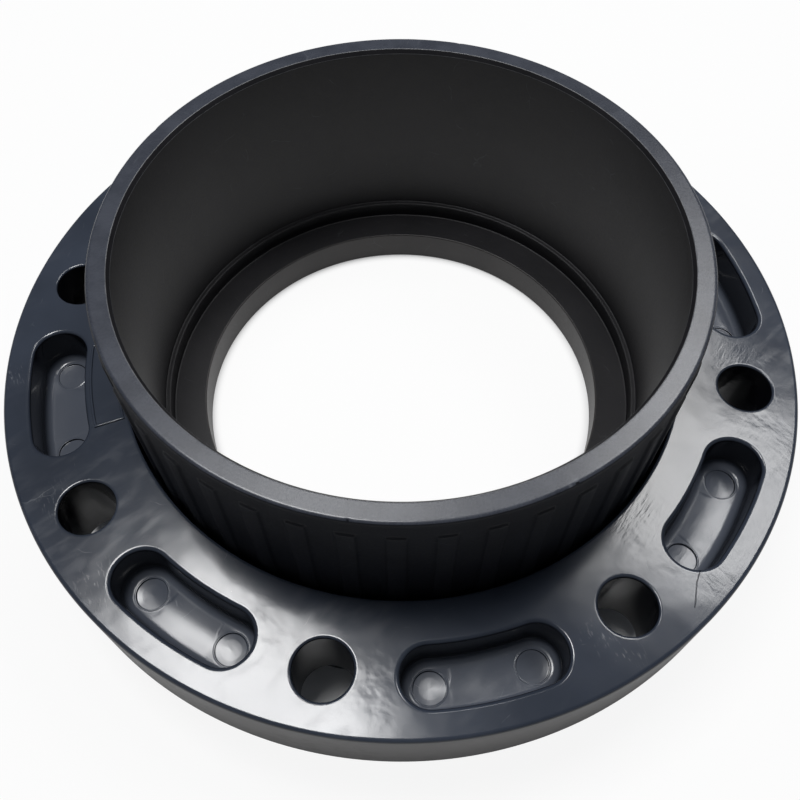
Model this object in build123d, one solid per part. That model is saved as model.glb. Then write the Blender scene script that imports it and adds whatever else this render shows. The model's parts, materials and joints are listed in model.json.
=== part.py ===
from build123d import *
import math
import os

# Lap joint flange for 8 inch plastic pipe, in millimetres.
# A socket hub ends in a flat lap, and a loose backing ring turns freely on it.
# The origin is the centre of the lap's sealing face, and +Z runs up the pipe.

# Driving sizes of the pipe and of the bolted joint
PIPE_OD = 219.1
RING_OD = 342.9
LAP_OD = 269.9
BOLT_COUNT = 8

# Shares of the ring's width from bore to outside: how far out the bolt circle lies,
# and how wide the bolt holes and the recesses are
BOLT_PLACE = 0.5586
HOLE_SHARE = 0.4449

# Hub: the lap, the pipe socket above it and the way through
HUB_HEIGHT = 117.5
HUB_WALL = 9.0
LAP_THICKNESS = 16.5
BORE = 185.0
STOP_HEIGHT = 16.0
SOCKET_DEPTH = 93.5
MOUTH_CLEARANCE = 0.35
SEAT_STEP = 2.5
MOUTH_CHAMFER = 1.2
MOUTH_CHAMFER_DEPTH = 1.8
RIM_ROUND = 1.0
ROOT_FILLET = 2.5
LAP_EDGE_ROUND = 1.5
INNER_EDGE_ROUND = 0.6

# Raised ribs round the outside of the socket, which keep the ring central
RIB_COUNT = 45
RIB_WIDTH = 7.0
RIB_HEIGHT = 0.9
RIB_TOP_GAP = 9.5
RIB_FOOT_GAP = 4.0
RIB_EMBED = 1.0

# Backing ring
RING_THICKNESS = 37.6
RING_CLEARANCE = 1.3
RING_ROOT_RELIEF = 3.5
RING_TOP_ROUND = 1.3
RING_FOOT_ROUND = 1.5
LIP_ROUND = 1.1

# Curved recesses between the bolt holes, with two ejector marks in each floor
RECESS_DEPTH = 18.0
RECESS_END_ANGLE = 7.65
RECESS_DRAFT = 1.5
RECESS_FLOOR_ROUND = 2.0
MARK_SHARE = 0.5625
MARK_DEPTH = 0.6

# Sizes worked out from those above
MOUTH_R = PIPE_OD / 2 + MOUTH_CLEARANCE
HUB_R = MOUTH_R + HUB_WALL
RIB_R = HUB_R + RIB_HEIGHT
RING_BORE_R = RIB_R + RING_CLEARANCE
RING_WIDTH = RING_OD / 2 - RING_BORE_R
BOLT_R = RING_BORE_R + BOLT_PLACE * RING_WIDTH
BOLT_HOLE = HOLE_SHARE * RING_WIDTH
BOLT_STEP = 360 / BOLT_COUNT


def revolved(points, radii):
    """Turns a closed outline of (radius, height) points about Z, with each corner rounded as listed."""
    path = FilletPolyline(*[(r, 0, z) for r, z in points], radius=radii, close=True)
    return revolve(make_face(path), Axis.Z)


def hub_body():
    """The lap, the plain outside, the socket with its two steps, and the bore."""
    seat_height = HUB_HEIGHT - SOCKET_DEPTH
    step_r = MOUTH_R - SEAT_STEP
    corners = [
        ((BORE / 2, 0), INNER_EDGE_ROUND),
        ((LAP_OD / 2, 0), LAP_EDGE_ROUND),
        ((LAP_OD / 2, LAP_THICKNESS), LAP_EDGE_ROUND),
        ((HUB_R, LAP_THICKNESS), ROOT_FILLET),
        ((HUB_R, HUB_HEIGHT), RIM_ROUND),
        ((MOUTH_R + MOUTH_CHAMFER, HUB_HEIGHT), 0),
        ((MOUTH_R, HUB_HEIGHT - MOUTH_CHAMFER_DEPTH), 0),
        ((MOUTH_R, seat_height), INNER_EDGE_ROUND),
        ((step_r, seat_height), INNER_EDGE_ROUND),
        ((step_r, STOP_HEIGHT), INNER_EDGE_ROUND),
        ((BORE / 2, STOP_HEIGHT), INNER_EDGE_ROUND),
    ]
    return revolved([point for point, _ in corners], [radius for _, radius in corners])


def hub_rib():
    """One flat raised rib on the +X side, sunk a little into the hub's wall."""
    foot = LAP_THICKNESS + RIB_FOOT_GAP
    length = HUB_HEIGHT - RIB_TOP_GAP - foot
    block = Box(RIB_EMBED + RIB_HEIGHT, RIB_WIDTH, length, align=(Align.MAX, Align.CENTER, Align.MIN))
    return Pos(RIB_R, 0, foot) * block


def socket_hub():
    """The hub in one moulding, ribs included."""
    rib = hub_rib()
    return hub_body() + [Rot(0, 0, k * 360 / RIB_COUNT) * rib for k in range(RIB_COUNT)]


def recess_arc():
    """Centre line of the recess that lies midway between the first two bolt holes."""
    middle = BOLT_STEP / 2
    return CenterArc((0, 0), BOLT_R, middle - RECESS_END_ANGLE, 2 * RECESS_END_ANGLE)


def recess_cutter():
    """What one recess takes out, as wide as a bolt hole: tapered walls, a rounded floor edge and two marks."""
    draft_in = RECESS_DEPTH * math.tan(math.radians(RECESS_DRAFT))
    floor = SlotArc(recess_arc(), BOLT_HOLE - 2 * draft_in)
    pocket = extrude(floor, amount=RECESS_DEPTH, taper=-RECESS_DRAFT)
    pocket = fillet(pocket.faces().sort_by(Axis.Z)[0].edges(), RECESS_FLOOR_ROUND)
    mark = Cylinder(MARK_SHARE * BOLT_HOLE / 2, 2 * MARK_DEPTH)
    for side in (-1, 1):
        angle = math.radians(BOLT_STEP / 2 + side * RECESS_END_ANGLE)
        pocket += Pos(BOLT_R * math.cos(angle), BOLT_R * math.sin(angle), 0) * mark
    return pocket


def backing_ring():
    """The loose ring at its place on the lap, with bolt holes and recesses by turns."""
    top = LAP_THICKNESS + RING_THICKNESS
    corners = [
        ((RING_BORE_R + RING_ROOT_RELIEF, LAP_THICKNESS), 0),
        ((RING_OD / 2, LAP_THICKNESS), RING_FOOT_ROUND),
        ((RING_OD / 2, top), RING_TOP_ROUND),
        ((RING_BORE_R, top), 0),
        ((RING_BORE_R, LAP_THICKNESS + RING_ROOT_RELIEF), 0),
    ]
    ring = revolved([point for point, _ in corners], [radius for _, radius in corners])
    hole = Pos(BOLT_R, 0, LAP_THICKNESS) * Cylinder(
        BOLT_HOLE / 2, RING_THICKNESS, align=(Align.CENTER, Align.CENTER, Align.MIN))
    recess = Pos(0, 0, top - RECESS_DEPTH) * recess_cutter()
    for k in range(BOLT_COUNT):
        turn = Rot(0, 0, k * BOLT_STEP)
        ring = ring - turn * hole - turn * recess
    top_face = ring.faces().filter_by(Plane.XY).sort_by(Axis.Z)[-1]
    lips = [edge for wire in top_face.inner_wires() for edge in wire.edges()]
    return fillet(lips, LIP_ROUND)


os.makedirs("parts", exist_ok=True)
export_step(socket_hub(), "parts/socket_hub.step")
export_step(backing_ring(), "parts/backing_ring.step")
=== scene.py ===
"""Looks of a lap joint flange: a satin socket hub and a loose gloss backing ring, on a pale studio floor."""
from __future__ import annotations

import json
import logging
import math
from collections.abc import Callable, Mapping, Sequence
from dataclasses import dataclass, field
from enum import Enum
from functools import reduce
from typing import Any

import bmesh
import bpy
import numpy as np
from mathutils import Matrix, Vector

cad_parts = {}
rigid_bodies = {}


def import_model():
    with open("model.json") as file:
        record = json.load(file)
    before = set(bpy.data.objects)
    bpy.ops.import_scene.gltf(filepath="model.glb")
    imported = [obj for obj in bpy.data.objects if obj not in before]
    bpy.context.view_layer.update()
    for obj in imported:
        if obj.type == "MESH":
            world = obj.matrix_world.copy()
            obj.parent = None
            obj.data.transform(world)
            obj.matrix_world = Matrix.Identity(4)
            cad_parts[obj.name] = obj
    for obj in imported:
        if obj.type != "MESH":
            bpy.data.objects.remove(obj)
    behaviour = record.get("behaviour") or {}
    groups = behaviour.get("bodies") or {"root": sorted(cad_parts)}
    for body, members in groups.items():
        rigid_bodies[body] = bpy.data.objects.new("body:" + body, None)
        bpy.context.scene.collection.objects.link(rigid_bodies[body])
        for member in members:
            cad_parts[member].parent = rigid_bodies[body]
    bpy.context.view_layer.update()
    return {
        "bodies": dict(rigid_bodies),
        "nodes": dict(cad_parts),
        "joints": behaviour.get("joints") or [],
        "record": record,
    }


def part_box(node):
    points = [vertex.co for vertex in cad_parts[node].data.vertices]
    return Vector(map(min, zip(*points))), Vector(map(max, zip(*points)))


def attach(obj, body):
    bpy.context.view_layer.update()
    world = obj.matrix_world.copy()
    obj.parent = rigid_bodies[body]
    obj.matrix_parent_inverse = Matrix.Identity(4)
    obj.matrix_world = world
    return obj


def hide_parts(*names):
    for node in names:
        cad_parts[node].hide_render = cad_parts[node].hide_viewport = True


LOG = logging.getLogger("lap_joint_flange")
MM = 0.001
Pair = tuple[float, float]
Colour = tuple[float, float, float]
Corner = tuple[float, float, float]
Socket = bpy.types.NodeSocket
Inputs = Mapping[str | int, Any]
GOLDEN_ANGLE = math.radians(137.5)
WAVE_COUNT = 6
WAVE_GROWTH = 0.23
SHORT_RUN = 2.5
SCUFF_TONE: Colour = (0.15, 0.16, 0.18)


class Effect(Enum):
    """The shader groups that more than one material places."""

    PLACE = "polar_place"
    SKIN = "moulded_skin"
    STREAKS = "stretched_streaks"
    SPOT = "round_spot"
    LINE = "short_line"
    SCRATCHES = "fine_scratches"
    SPECKS = "dust_specks"


class Graph:
    """Adds and joins the nodes of one node tree. A value is a number, or another node's output."""

    def __init__(self, tree: bpy.types.NodeTree) -> None:
        """Takes the tree and empties it."""
        self.tree = tree
        tree.nodes.clear()

    def add(self, kind: str, inputs: Inputs | None = None, **settings: Any) -> bpy.types.Node:
        """Adds a node.

        Args:
            kind: the shader node's type.
            inputs: a value for each named or numbered input.
            settings: the node's own properties, which are set first.

        Returns:
            The new node.
        """
        node = self.tree.nodes.new("ShaderNode" + kind)
        for name, value in settings.items():
            setattr(node, name, value)
        for key, value in (inputs or {}).items():
            if isinstance(value, Socket):
                self.tree.links.new(value, node.inputs[key])
            else:
                node.inputs[key].default_value = value
        return node

    def group(self, effect: Effect, inputs: Inputs | None = None) -> bpy.types.Node:
        """Places one of the shared groups, with a value for each of its inputs."""
        return self.add("Group", inputs, node_tree=bpy.data.node_groups[effect.value])

    def math(self, operation: str, first: Any, second: Any = 0.0, clamp: bool = False) -> Socket:
        """Works out a number from one or two values, kept between 0 and 1 where clamp is true."""
        return self.add("Math", {0: first, 1: second}, operation=operation, use_clamp=clamp).outputs[0]

    def plus(self, *values: Any) -> Socket:
        """Adds values up."""
        return reduce(lambda total, value: self.math("ADD", total, value), values)

    def times(self, *values: Any) -> Socket:
        """Multiplies values."""
        return reduce(lambda total, value: self.math("MULTIPLY", total, value), values)

    def highest(self, *values: Any) -> Socket:
        """Gives the highest of values."""
        return reduce(lambda best, value: self.math("MAXIMUM", best, value), values)

    def vector(self, operation: str, *values: Any) -> Socket:
        """Works out a vector from one or two, or a number where the operation gives one."""
        node = self.add("VectorMath", dict(enumerate(values)), operation=operation)
        return node.outputs["Value" if operation in ("LENGTH", "DISTANCE", "DOT_PRODUCT") else "Vector"]

    def point(self, across: Any, along: Any) -> Socket:
        """Joins two lengths into a point at height zero."""
        return self.add("CombineXYZ", {0: across, 1: along}).outputs[0]

    def flat(self, place: Socket) -> Socket:
        """Drops the height of a place."""
        return self.vector("MULTIPLY", place, (1, 1, 0))

    def noise(self, place: Socket, scale: Any, detail: float, **more: float) -> Socket:
        """Gives a soft noise between 0 and 1."""
        return self.add("TexNoise", {"Vector": place, "Scale": scale, "Detail": detail, **more}).outputs[0]

    def ramp(self, value: Any, low: float, high: float, at_low: float = 0.0, at_high: float = 1.0) -> Socket:
        """Maps a value smoothly from the range between low and high to the one between at_low and at_high."""
        inputs = {"Value": value, "From Min": low, "From Max": high, "To Min": at_low, "To Max": at_high}
        return self.add("MapRange", inputs, interpolation_type="SMOOTHSTEP").outputs["Result"]

    def blend(self, share: Any, first: Any, second: Any) -> Socket:
        """Mixes two colours, by the share of the second."""
        pair = [(*value, 1.0) if isinstance(value, tuple) else value for value in (first, second)]
        return self.add("Mix", {0: share, 6: pair[0], 7: pair[1]}, data_type="RGBA").outputs[2]


@dataclass(frozen=True)
class GroupMaker:
    """Builds each shared shader group once. Lengths inside the groups are in millimetres."""

    streak_bend: float = 0.4
    line_core: float = 0.2
    scratch_bend_scale: float = 0.03
    scratch_bend_mm: float = 26.0
    scratch_break_scale: float = 0.11
    scratch_breaks: Pair = (0.55, 0.68)

    def build_all(self) -> None:
        """Builds all groups."""
        for build in (self.build_place, self.build_skin, self.build_streaks, self.build_spot, self.build_line,
                      self.build_scratches, self.build_specks):
            build()

    def start(self, effect: Effect, names: Sequence[str],
              results: Sequence[str] = ("Mask",)) -> tuple[Graph, Any, Any]:
        """Starts a group with its named sockets.

        Args:
            effect: which group.
            names: the inputs' names; Place is a vector and the rest are numbers.
            results: the outputs' names; Place is a vector and the rest are numbers.

        Returns:
            The graph, the sockets that give the inputs, and those that take the results.
        """
        tree = bpy.data.node_groups.new(effect.value, "ShaderNodeTree")
        for way, sockets in (("INPUT", names), ("OUTPUT", results)):
            for name in sockets:
                kind = "NodeSocketVector" if name == "Place" else "NodeSocketFloat"
                tree.interface.new_socket(name=name, in_out=way, socket_type=kind)
        graph = Graph(tree)
        return graph, tree.nodes.new("NodeGroupInput").outputs, tree.nodes.new("NodeGroupOutput").inputs

    def join(self, graph: Graph, taken: Any, **results: Socket) -> None:
        """Feeds the group's outputs, by name."""
        for name, socket in results.items():
            graph.tree.links.new(socket, taken[name])

    def build_place(self) -> None:
        """Gives the place in millimetres, its distance from the pipe axis, its height and how level it is."""
        graph, _, taken = self.start(Effect.PLACE, (), ("Place", "Radius", "Height", "Level"))
        here = graph.add("TexCoord").outputs
        place = graph.vector("MULTIPLY", here["Object"], (1 / MM,) * 3)
        radius = graph.vector("LENGTH", graph.flat(place))
        height, facing = (graph.add("SeparateXYZ", {0: one}).outputs[2] for one in (place, here["Normal"]))
        level = graph.math("ABSOLUTE", facing)
        self.join(graph, taken, Place=place, Radius=radius, Height=height, Level=level)

    def build_skin(self) -> None:
        """Gives the height of a moulded skin: long swells from shrinkage, and a fine peel on them."""
        names = ("Place", "Swell Size", "Swell", "Peel Size", "Peel")
        graph, given, taken = self.start(Effect.SKIN, names, ("Height",))
        heights = []
        for name, detail in (("Swell", 1.0), ("Peel", 2.0)):
            scale = graph.math("DIVIDE", 1.0, given[name + " Size"])
            heights.append(graph.times(graph.noise(given["Place"], scale, detail), given[name]))
        self.join(graph, taken, Height=graph.plus(*heights))

    def build_streaks(self) -> None:
        """Gives a noise between 0 and 1 that is Stretch times longer one way, turned by Turn."""
        graph, given, taken = self.start(Effect.STREAKS, ("Place", "Turn", "Size", "Stretch"), ("Value",))
        inputs = {"Vector": given["Place"], "Angle": given["Turn"]}
        spun = graph.add("VectorRotate", inputs, rotation_type="Z_AXIS").outputs[0]
        across = graph.math("DIVIDE", 1.0, given["Size"])
        along = graph.math("DIVIDE", across, given["Stretch"])
        scale = graph.add("CombineXYZ", {0: across, 1: along, 2: across}).outputs[0]
        place = graph.vector("MULTIPLY", spun, scale)
        self.join(graph, taken, Value=graph.noise(place, 1.0, detail=3.0, Distortion=self.streak_bend))

    def build_spot(self) -> None:
        """Gives 1 at a point seen from above, fading to 0 at Reach."""
        graph, given, taken = self.start(Effect.SPOT, ("Place", "X", "Y", "Reach"))
        away = graph.vector("DISTANCE", graph.flat(given["Place"]), graph.point(given["X"], given["Y"]))
        self.join(graph, taken, Mask=graph.ramp(graph.math("DIVIDE", away, given["Reach"]), 1.0, 0.0))

    def build_line(self) -> None:
        """Gives 1 on a straight line between two points seen from above, fading to 0 at Width."""
        names = ("Place", "From X", "From Y", "To X", "To Y", "Width")
        graph, given, taken = self.start(Effect.LINE, names)
        first, last = (graph.point(given[end + " X"], given[end + " Y"]) for end in ("From", "To"))
        run = graph.vector("SUBTRACT", last, first)
        here = graph.vector("SUBTRACT", graph.flat(given["Place"]), first)
        dots = (graph.vector("DOT_PRODUCT", one, run) for one in (here, run))
        share = graph.math("DIVIDE", *dots, clamp=True)
        away = graph.vector("DISTANCE", here, graph.vector("MULTIPLY", run, share))
        away = graph.math("DIVIDE", away, given["Width"])
        self.join(graph, taken, Mask=graph.ramp(away, 1.0, self.line_core))

    def build_scratches(self) -> None:
        """Gives a mask of thin broken lines, where the cells of a bent pattern meet."""
        graph, given, taken = self.start(Effect.SCRATCHES, ("Place", "Size", "Width", "Amount"))
        inputs = {"Vector": given["Place"], "Scale": self.scratch_bend_scale, "Detail": 3.0}
        bend = graph.add("TexNoise", inputs).outputs["Color"]
        shift = graph.vector("MULTIPLY", bend, (self.scratch_bend_mm,) * 3)
        place = graph.vector("ADD", given["Place"], shift)
        line = self.near_cells(graph, place, given["Size"], given["Width"], "DISTANCE_TO_EDGE")[0]
        breaks = graph.noise(given["Place"], self.scratch_break_scale, detail=2.0)
        kept = graph.ramp(breaks, *self.scratch_breaks)
        self.join(graph, taken, Mask=graph.times(line, kept, given["Amount"]))

    def build_specks(self) -> None:
        """Gives a mask of scattered round specks, one in a share of the cells of a grid."""
        graph, given, taken = self.start(Effect.SPECKS, ("Place", "Size", "Speck", "Share"))
        dot, cells = self.near_cells(graph, given["Place"], given["Size"], given["Speck"], "F1")
        chance = graph.add("SeparateColor", {0: cells.outputs["Color"]}).outputs[0]
        self.join(graph, taken, Mask=graph.times(dot, graph.math("LESS_THAN", chance, given["Share"])))

    def near_cells(self, graph: Graph, place: Socket, size: Socket, reach: Socket,
                   feature: str) -> tuple[Socket, bpy.types.Node]:
        """Gives 1 at the points or the borders of a grid of cells, falling to 0 at a distance.

        Args:
            graph: the group's graph.
            place: the place in millimetres.
            size: the cells' size.
            reach: the distance at which the mask ends.
            feature: F1 for the cells' points, DISTANCE_TO_EDGE for their borders.

        Returns:
            The mask and the cells' node.
        """
        inputs = {"Vector": place, "Scale": graph.math("DIVIDE", 1.0, size)}
        cells = graph.add("TexVoronoi", inputs, feature=feature)
        away = graph.times(cells.outputs["Distance"], size)
        return graph.math("SUBTRACT", 1.0, graph.math("DIVIDE", away, reach), clamp=True), cells


@dataclass(frozen=True)
class Spot:
    """A round place on a top surface: where it is and how far it reaches, in millimetres."""

    x: float
    y: float
    reach: float


class PlasticGraph(Graph):
    """The graph of one plastic material, with the place on the piece at hand."""

    def __init__(self, name: str) -> None:
        """Makes the material, and starts from the place.

        Args:
            name: the material's name.
        """
        self.material = bpy.data.materials.new(name)
        self.material.use_nodes = True
        super().__init__(self.material.node_tree)
        self.where = self.group(Effect.PLACE).outputs
        self.place = self.where["Place"]

    def effect(self, effect: Effect, inputs: Inputs) -> Socket:
        """Places a shared group at the place on the piece, and gives its output."""
        return self.group(effect, {"Place": self.place, **inputs}).outputs[0]

    def spots(self, spots: Sequence[Spot]) -> Socket:
        """Joins round places into one mask, the highest of all spots."""
        return self.highest(*(self.effect(Effect.SPOT, {"X": spot.x, "Y": spot.y, "Reach": spot.reach})
                              for spot in spots))

    def close(self, colour: Socket, rough: Socket, height: Socket,
              specular: float = 0.5) -> bpy.types.Material:
        """Adds the shader and the material's output.

        Args:
            colour: the base colour.
            rough: the roughness.
            height: the relief in millimetres, for the bump.
            specular: the specular level.

        Returns:
            The material.
        """
        bump = self.add("Bump", {"Strength": 1.0, "Distance": MM, "Height": height})
        inputs = {"Base Color": colour, "Roughness": rough, "Specular IOR Level": specular,
                  "Normal": bump.outputs[0]}
        self.add("OutputMaterial", {"Surface": self.add("BsdfPrincipled", inputs).outputs[0]})
        return self.material


@dataclass(frozen=True)
class RingFinish:
    """Gloss moulded plastic with lumps and wrinkles in its skin, cloudy smears, pale scuffs and dust, with
    painted shade on its steep walls, a painted reflection on its outer side and a lighter painted reflection
    on the recess floors.

    A name that ends in rough is what a feature adds to the roughness. One that ends in reach is where a
    feature starts, and where it is there in full.
    """

    deep: Colour = (0.024, 0.030, 0.044)
    pale: Colour = (0.034, 0.042, 0.060)
    scuff: Colour = SCUFF_TONE
    groove_tone: Colour = (0.006, 0.007, 0.01)
    # painted reflection of the pale floor on the ring's outer side
    side_painted_reflection: Colour = (0.041, 0.036, 0.035)
    # painted shade on the steep walls of the bore, holes and recesses
    wall_painted_shade: Colour = (0.005, 0.0055, 0.008)
    # painted reflection: a lighter, bluer tone on the recess floors
    floor_tone: Colour = (0.082, 0.092, 0.116)
    smear_share: float = 0.06
    floor_reflection_share: float = 0.8
    side_reach: Pair = (170.25, 171.05)
    side_reflection_low_reach: Pair = (52.0, 48.0)
    floor_low_reach: Pair = (44.0, 40.0)
    steep_reach: Pair = (0.85, 0.25)
    cloud_reach: Pair = (0.35, 0.65)
    smear_reach: Pair = (0.42, 0.68)
    smear_patch_reach: Pair = (0.42, 0.62)
    rub_reach: Pair = (0.56, 0.72)
    gloss: float = 0.12
    haze_rough: float = 0.07
    smear_rough: float = 0.05
    side_rough: float = 0.24
    floor_rough: float = 0.06
    worn_rough: float = 0.25
    cloud_scale: float = 0.018
    haze_scale: float = 0.05
    smear_patch_scale: float = 0.028
    wrinkle_patch_scale: float = 0.045
    mottle_scale: float = 0.14
    lumps_mm: float = 0.13
    peel_mm: float = 0.006
    wrinkles_mm: float = 0.085
    wrinkles_elsewhere: float = 0.04
    wrinkle_ways: tuple[tuple[float, float, float, Pair], ...] = (
        (0.45, 1.2, 6.0, (0.42, 0.6)),
        (-0.9, 2.6, 2.4, (0.6, 0.42)),
    )
    mottle_mm: float = 0.11
    groove_mm: float = 0.35
    groove_width: float = 0.25
    groove_strength: float = 0.6
    speck_strength: float = 0.45
    rub_strength: float = 0.5
    wrinkled: tuple[Spot, ...] = (
        Spot(153.0, -28.0, 30.0),
        Spot(108.0, -64.0, 26.0),
        Spot(137.0, -80.0, 30.0),
        Spot(150.0, 12.0, 24.0),
    )
    mottled: tuple[Spot, ...] = (
        Spot(118.0, -72.0, 34.0),
        Spot(146.0, -62.0, 44.0),
        Spot(152.0, -10.0, 34.0),
        Spot(18.0, -152.0, 24.0),
        Spot(-32.0, -146.0, 30.0),
    )
    scuffed: tuple[Spot, ...] = (
        Spot(94.9, -119.2, 9.0),
        Spot(105.9, -122.7, 9.0),
        Spot(-117.0, -104.5, 12.0),
        Spot(-159.5, -52.8, 9.0),
        Spot(-88.0, -136.0, 16.0),
        Spot(-65.7, -131.0, 6.0),
    )
    joint_lines: tuple[tuple[float, float, float, float], ...] = (
        (132.0, -84.2, 130.2, -91.4),
        (130.2, -91.4, 129.6, -101.5),
    )

    def build(self, name: str) -> bpy.types.Material:
        """Builds the material.

        Args:
            name: the material's name.

        Returns:
            The material.
        """
        graph = PlasticGraph(name)
        radius, height, level = (graph.where[key] for key in ("Radius", "Height", "Level"))
        smear, worn, groove = self.smears(graph), self.wear(graph), self.grooves(graph)
        side, steep = graph.ramp(radius, *self.side_reach), graph.ramp(level, *self.steep_reach)
        floor = graph.times(graph.ramp(height, *self.floor_low_reach), graph.math("SUBTRACT", 1.0, steep))
        cloud = graph.noise(graph.place, self.cloud_scale, detail=4.0)
        colour = graph.blend(graph.ramp(cloud, *self.cloud_reach), self.deep, self.pale)
        layers = (
            (graph.times(smear, self.smear_share), self.scuff),
            (worn, self.scuff),
            (groove, self.groove_tone),
            # painted reflection: the recess floors turn lighter, standing in for the surroundings they
            # reflect
            (graph.times(floor, self.floor_reflection_share), self.floor_tone),
            # painted shade: steep walls of the bore, holes and recesses turn near black
            (steep, self.wall_painted_shade),
            # painted reflection: the outer side below the shoulder turns pale warm grey, as the floor it
            # reflects
            (graph.times(side, graph.ramp(height, *self.side_reflection_low_reach)), self.side_painted_reflection),
        )
        for share, tone in layers:
            colour = graph.blend(share, colour, tone)
        haze = graph.noise(graph.place, self.haze_scale, detail=4.0)
        added = ((haze, self.haze_rough), (smear, self.smear_rough), (side, self.side_rough),
                 (floor, self.floor_rough), (worn, self.worn_rough))
        rough = graph.plus(self.gloss, *(graph.times(*part) for part in added))
        relief = graph.plus(self.relief(graph), graph.times(groove, -self.groove_mm))
        return graph.close(colour, rough, relief)

    def smears(self, graph: PlasticGraph) -> Socket:
        """Gives a mask of cloudy smears: long soft streaks, kept only in patches.

        Args:
            graph: the material's graph.

        Returns:
            The mask.
        """
        streaks = graph.effect(Effect.STREAKS, {"Turn": 0.7, "Size": 5.0, "Stretch": 3.0})
        patches = graph.noise(graph.place, self.smear_patch_scale, detail=2.0)
        kept = graph.ramp(patches, *self.smear_patch_reach)
        return graph.times(graph.ramp(streaks, *self.smear_reach), kept)

    def wear(self, graph: PlasticGraph) -> Socket:
        """Gives a mask of pale wear: thin scratches and dust everywhere, and short scuffs in a few places.

        Args:
            graph: the material's graph.

        Returns:
            The mask.
        """
        scratches = graph.effect(Effect.SCRATCHES, {"Size": 34.0, "Width": 0.16, "Amount": 0.35})
        specks = graph.effect(Effect.SPECKS, {"Size": 5.0, "Speck": 0.28, "Share": 0.12})
        rubs = graph.effect(Effect.STREAKS, {"Turn": -0.6, "Size": 0.8, "Stretch": 4.0})
        rubbed = graph.times(graph.ramp(rubs, *self.rub_reach), graph.spots(self.scuffed), self.rub_strength)
        return graph.highest(scratches, graph.times(specks, self.speck_strength), rubbed)

    def grooves(self, graph: PlasticGraph) -> Socket:
        """Gives a mask of the thin line in which the melt met, beside one recess.

        Args:
            graph: the material's graph.

        Returns:
            The mask.
        """
        ends = ("From X", "From Y", "To X", "To Y")
        lines = (graph.effect(Effect.LINE, {"Width": self.groove_width, **dict(zip(ends, line))})
                 for line in self.joint_lines)
        return graph.times(graph.highest(*lines), self.groove_strength)

    def relief(self, graph: PlasticGraph) -> Socket:
        """Gives the skin's height: lumps and a fine peel, with mottles and two-way wrinkles in some places.

        Args:
            graph: the material's graph.

        Returns:
            The height in millimetres.
        """
        skin = {"Swell Size": 15.0, "Swell": self.lumps_mm, "Peel Size": 2.6, "Peel": self.peel_mm}
        strong = graph.times(graph.spots(self.wrinkled), 1 - self.wrinkles_elsewhere)
        spread = graph.plus(self.wrinkles_elsewhere, strong)
        patches = graph.noise(graph.place, self.wrinkle_patch_scale, detail=2.0)
        parts = [graph.effect(Effect.SKIN, skin)]
        for turn, size, stretch, reach in self.wrinkle_ways:
            streaks = graph.effect(Effect.STREAKS, {"Turn": turn, "Size": size, "Stretch": stretch})
            parts.append(graph.times(streaks, graph.ramp(patches, *reach), spread, self.wrinkles_mm))
        mottle = graph.noise(graph.place, self.mottle_scale, detail=2.0)
        return graph.plus(*parts, graph.times(mottle, graph.spots(self.mottled), self.mottle_mm))


class Zone(Enum):
    """The hub's surfaces that differ in finish and in painted light or shade, in the order of its material
    slots.
    """

    SIDE = 0
    RIM = 1
    INSIDE = 2
    EDGE = 3
    BORE = 4


@dataclass(frozen=True)
class SatinFinish:
    """Satin moulded plastic: a cloudy tone, a grain, faint turned lines, scratches and dust."""

    name: str
    deep: Colour
    pale: Colour
    scuff: Colour = SCUFF_TONE
    rough: float = 0.36
    grain_rough: float = 0.14
    worn_rough: float = 0.2
    specular: float = 0.5
    cloud_scale: float = 0.03
    cloud_reach: Pair = (0.36, 0.64)
    cloud_grain: float = 0.62
    grain_scale: float = 0.9
    turned_scale: float = 1.4
    swell_mm: float = 0.1
    grain_mm: float = 0.02
    turned_mm: float = 0.0
    wear: float = 0.4
    speck_strength: float = 0.5
    spot_strength: float = 0.6
    spots: tuple[Spot, ...] = ()

    def build(self) -> bpy.types.Material:
        """Builds the material.

        Returns:
            The material.
        """
        graph = PlasticGraph(self.name)
        cloud = graph.noise(graph.place, self.cloud_scale, detail=6.0, Roughness=self.cloud_grain)
        tone = graph.blend(graph.ramp(cloud, *self.cloud_reach), self.deep, self.pale)
        worn, grain = self.worn(graph), graph.noise(graph.place, self.grain_scale, detail=3.0)
        added = graph.times(grain, self.grain_rough), graph.times(worn, self.worn_rough)
        skin = {"Swell Size": 30.0, "Swell": self.swell_mm, "Peel Size": 1.1, "Peel": self.grain_mm}
        inputs = {"W": graph.where["Radius"], "Scale": self.turned_scale, "Detail": 2.0}
        lines = graph.add("TexNoise", inputs, noise_dimensions="1D").outputs[0]
        relief = graph.plus(graph.effect(Effect.SKIN, skin), graph.times(lines, self.turned_mm))
        colour, rough = graph.blend(worn, tone, self.scuff), graph.plus(self.rough, *added)
        return graph.close(colour, rough, relief, self.specular)

    def worn(self, graph: PlasticGraph) -> Socket:
        """Gives a mask of pale wear: thin scratches, dust and the named spots.

        Args:
            graph: the material's graph.

        Returns:
            The mask.
        """
        scratches = graph.effect(Effect.SCRATCHES, {"Size": 24.0, "Width": 0.2, "Amount": self.wear})
        specks = graph.effect(Effect.SPECKS, {"Size": 4.0, "Speck": 0.25, "Share": 0.1})
        spots = [graph.times(graph.spots(self.spots), self.spot_strength)] if self.spots else []
        return graph.highest(scratches, graph.times(specks, self.speck_strength), *spots)


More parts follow.
